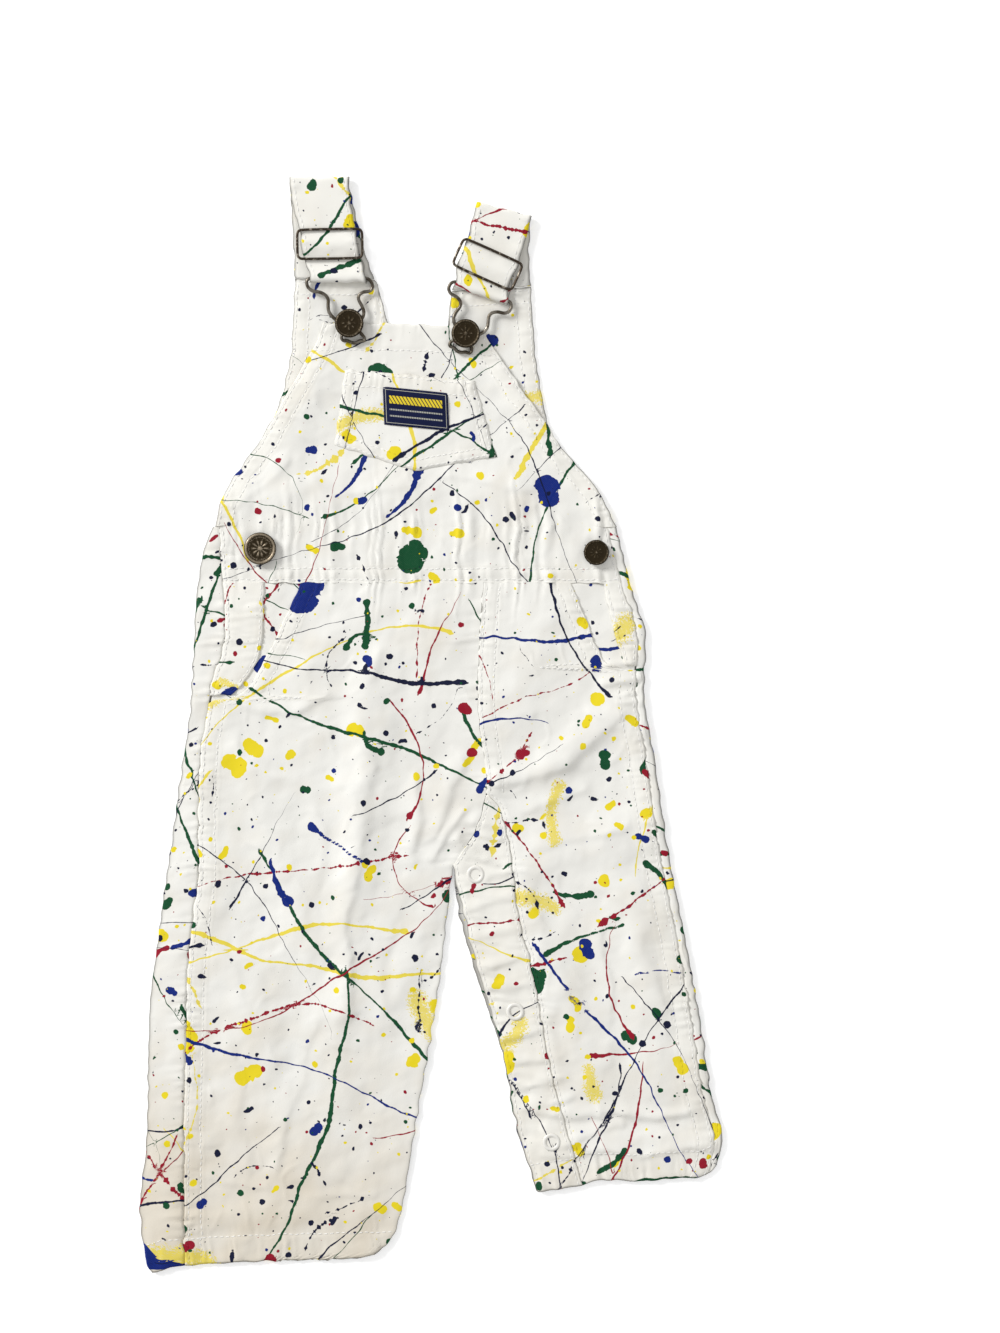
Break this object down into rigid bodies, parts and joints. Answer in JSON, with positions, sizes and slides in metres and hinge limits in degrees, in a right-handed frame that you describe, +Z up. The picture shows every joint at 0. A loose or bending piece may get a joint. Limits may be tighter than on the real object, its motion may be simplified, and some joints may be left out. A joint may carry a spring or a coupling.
{
  "type": "bib overalls",
  "caption": "Toddler's bib overalls in white cotton twill with an all-over paint spatter, laid flat on their back, straps folded over and hooked to the bib buttons.",
  "frame": {"origin": "middle of the bounding box at the surface the garment lies on", "axes": "+X to the right of the garment as it lies, +Y from the hems to the shoulders, +Z up off the surface"},
  "size_m": [0.3083, 0.5807, 0.0078],
  "materials": {
    "twill": "soft cotton twill, white, printed with paint spatter",
    "label_weave": "fine navy ribbon weave",
    "bronze": "antiqued dark, rubbed bright on the high spots",
    "snap_enamel": "white enamel"
  },
  "bodies": {
    "root": {"back_leg_left": "twill", "back_leg_right": "twill", "back_bib": "twill", "front_leg_left": "twill", "front_leg_right": "twill", "inseam_placket": "twill", "waistband_front": "twill", "side_placket_left": "twill", "side_placket_right": "twill", "hip_pocket_facing_left": "twill", "hip_pocket_facing_right": "twill", "bib_front": "twill", "bib_pocket": "twill", "bib_label": "label_weave", "strap_left": "twill", "strap_right": "twill", "slider_frame_left": "bronze", "slider_frame_right": "bronze", "slider_bar_left": "bronze", "slider_bar_right": "bronze", "buckle_left": "bronze", "buckle_right": "bronze", "bib_button_left": "bronze", "bib_button_right": "bronze", "hip_button_left": "bronze", "hip_button_right": "bronze", "snap_ring_top": "snap_enamel", "snap_ring_middle": "snap_enamel", "snap_ring_bottom": "snap_enamel"}
  },
  "joints": []
}
